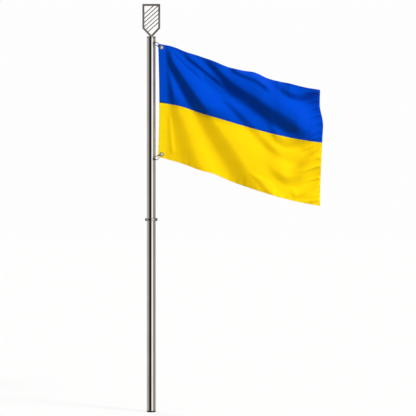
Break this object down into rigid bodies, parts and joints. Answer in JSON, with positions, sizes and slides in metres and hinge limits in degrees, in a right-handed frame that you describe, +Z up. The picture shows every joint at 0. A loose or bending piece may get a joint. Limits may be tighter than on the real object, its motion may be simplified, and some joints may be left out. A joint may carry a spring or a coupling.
{
  "type": "flagpole",
  "caption": "Round polished steel flagpole with a collar half way up, an open shield-shaped finial, and a two-colour cloth flag hung on links that swing in pad eyes.",
  "frame": {"origin": "centre of the foot's flat underside, at ground level", "axes": "+Z up along the pole, +X from the pole towards the flag's fly end, -Y out of the flag's front"},
  "size_m": [1.4422, 0.1431, 3.25],
  "materials": {
    "pole_steel": "polished stainless",
    "collar_steel": "polished stainless",
    "finial_steel": "darkened satin stainless",
    "eye_steel": "satin stainless",
    "link_steel": "plated",
    "grommet_nickel": "nickel-plated brass",
    "foot_plastic": "black nylon",
    "blue_cloth": "satin polyester",
    "yellow_cloth": "satin polyester"
  },
  "bodies": {
    "root": {"foot_plug": "foot_plastic", "lower_tube": "pole_steel", "upper_tube": "pole_steel", "joint_collar": "collar_steel", "top_cap": "collar_steel", "finial_top_rail": "finial_steel", "finial_left_stile": "finial_steel", "finial_right_stile": "finial_steel", "finial_left_lower_rail": "finial_steel", "finial_right_lower_rail": "finial_steel", "finial_slat_1": "finial_steel", "finial_slat_2": "finial_steel", "finial_slat_3": "finial_steel", "finial_slat_4": "finial_steel", "finial_slat_5": "finial_steel", "finial_slat_6": "finial_steel", "upper_pad_eye": "eye_steel", "lower_pad_eye": "eye_steel"},
    "flag": {"upper_link": "link_steel", "lower_link": "link_steel", "upper_link_nut": "link_steel", "lower_link_nut": "link_steel", "upper_grommet": "grommet_nickel", "lower_grommet": "grommet_nickel", "upper_grommet_washer": "grommet_nickel", "lower_grommet_washer": "grommet_nickel", "upper_heading": "blue_cloth", "lower_heading": "yellow_cloth", "upper_panel": "blue_cloth", "lower_panel": "yellow_cloth", "top_hem": "blue_cloth", "bottom_hem": "yellow_cloth", "upper_fly_hem": "blue_cloth", "lower_fly_hem": "yellow_cloth"}
  },
  "joints": [
    {"name": "flag_swing", "type": "hinge", "parent": "root", "child": "flag", "pos_m": [0.02954, -0.04219, 0], "axis": [0, 0, 1], "range_deg": [-105, 30]}
  ]
}
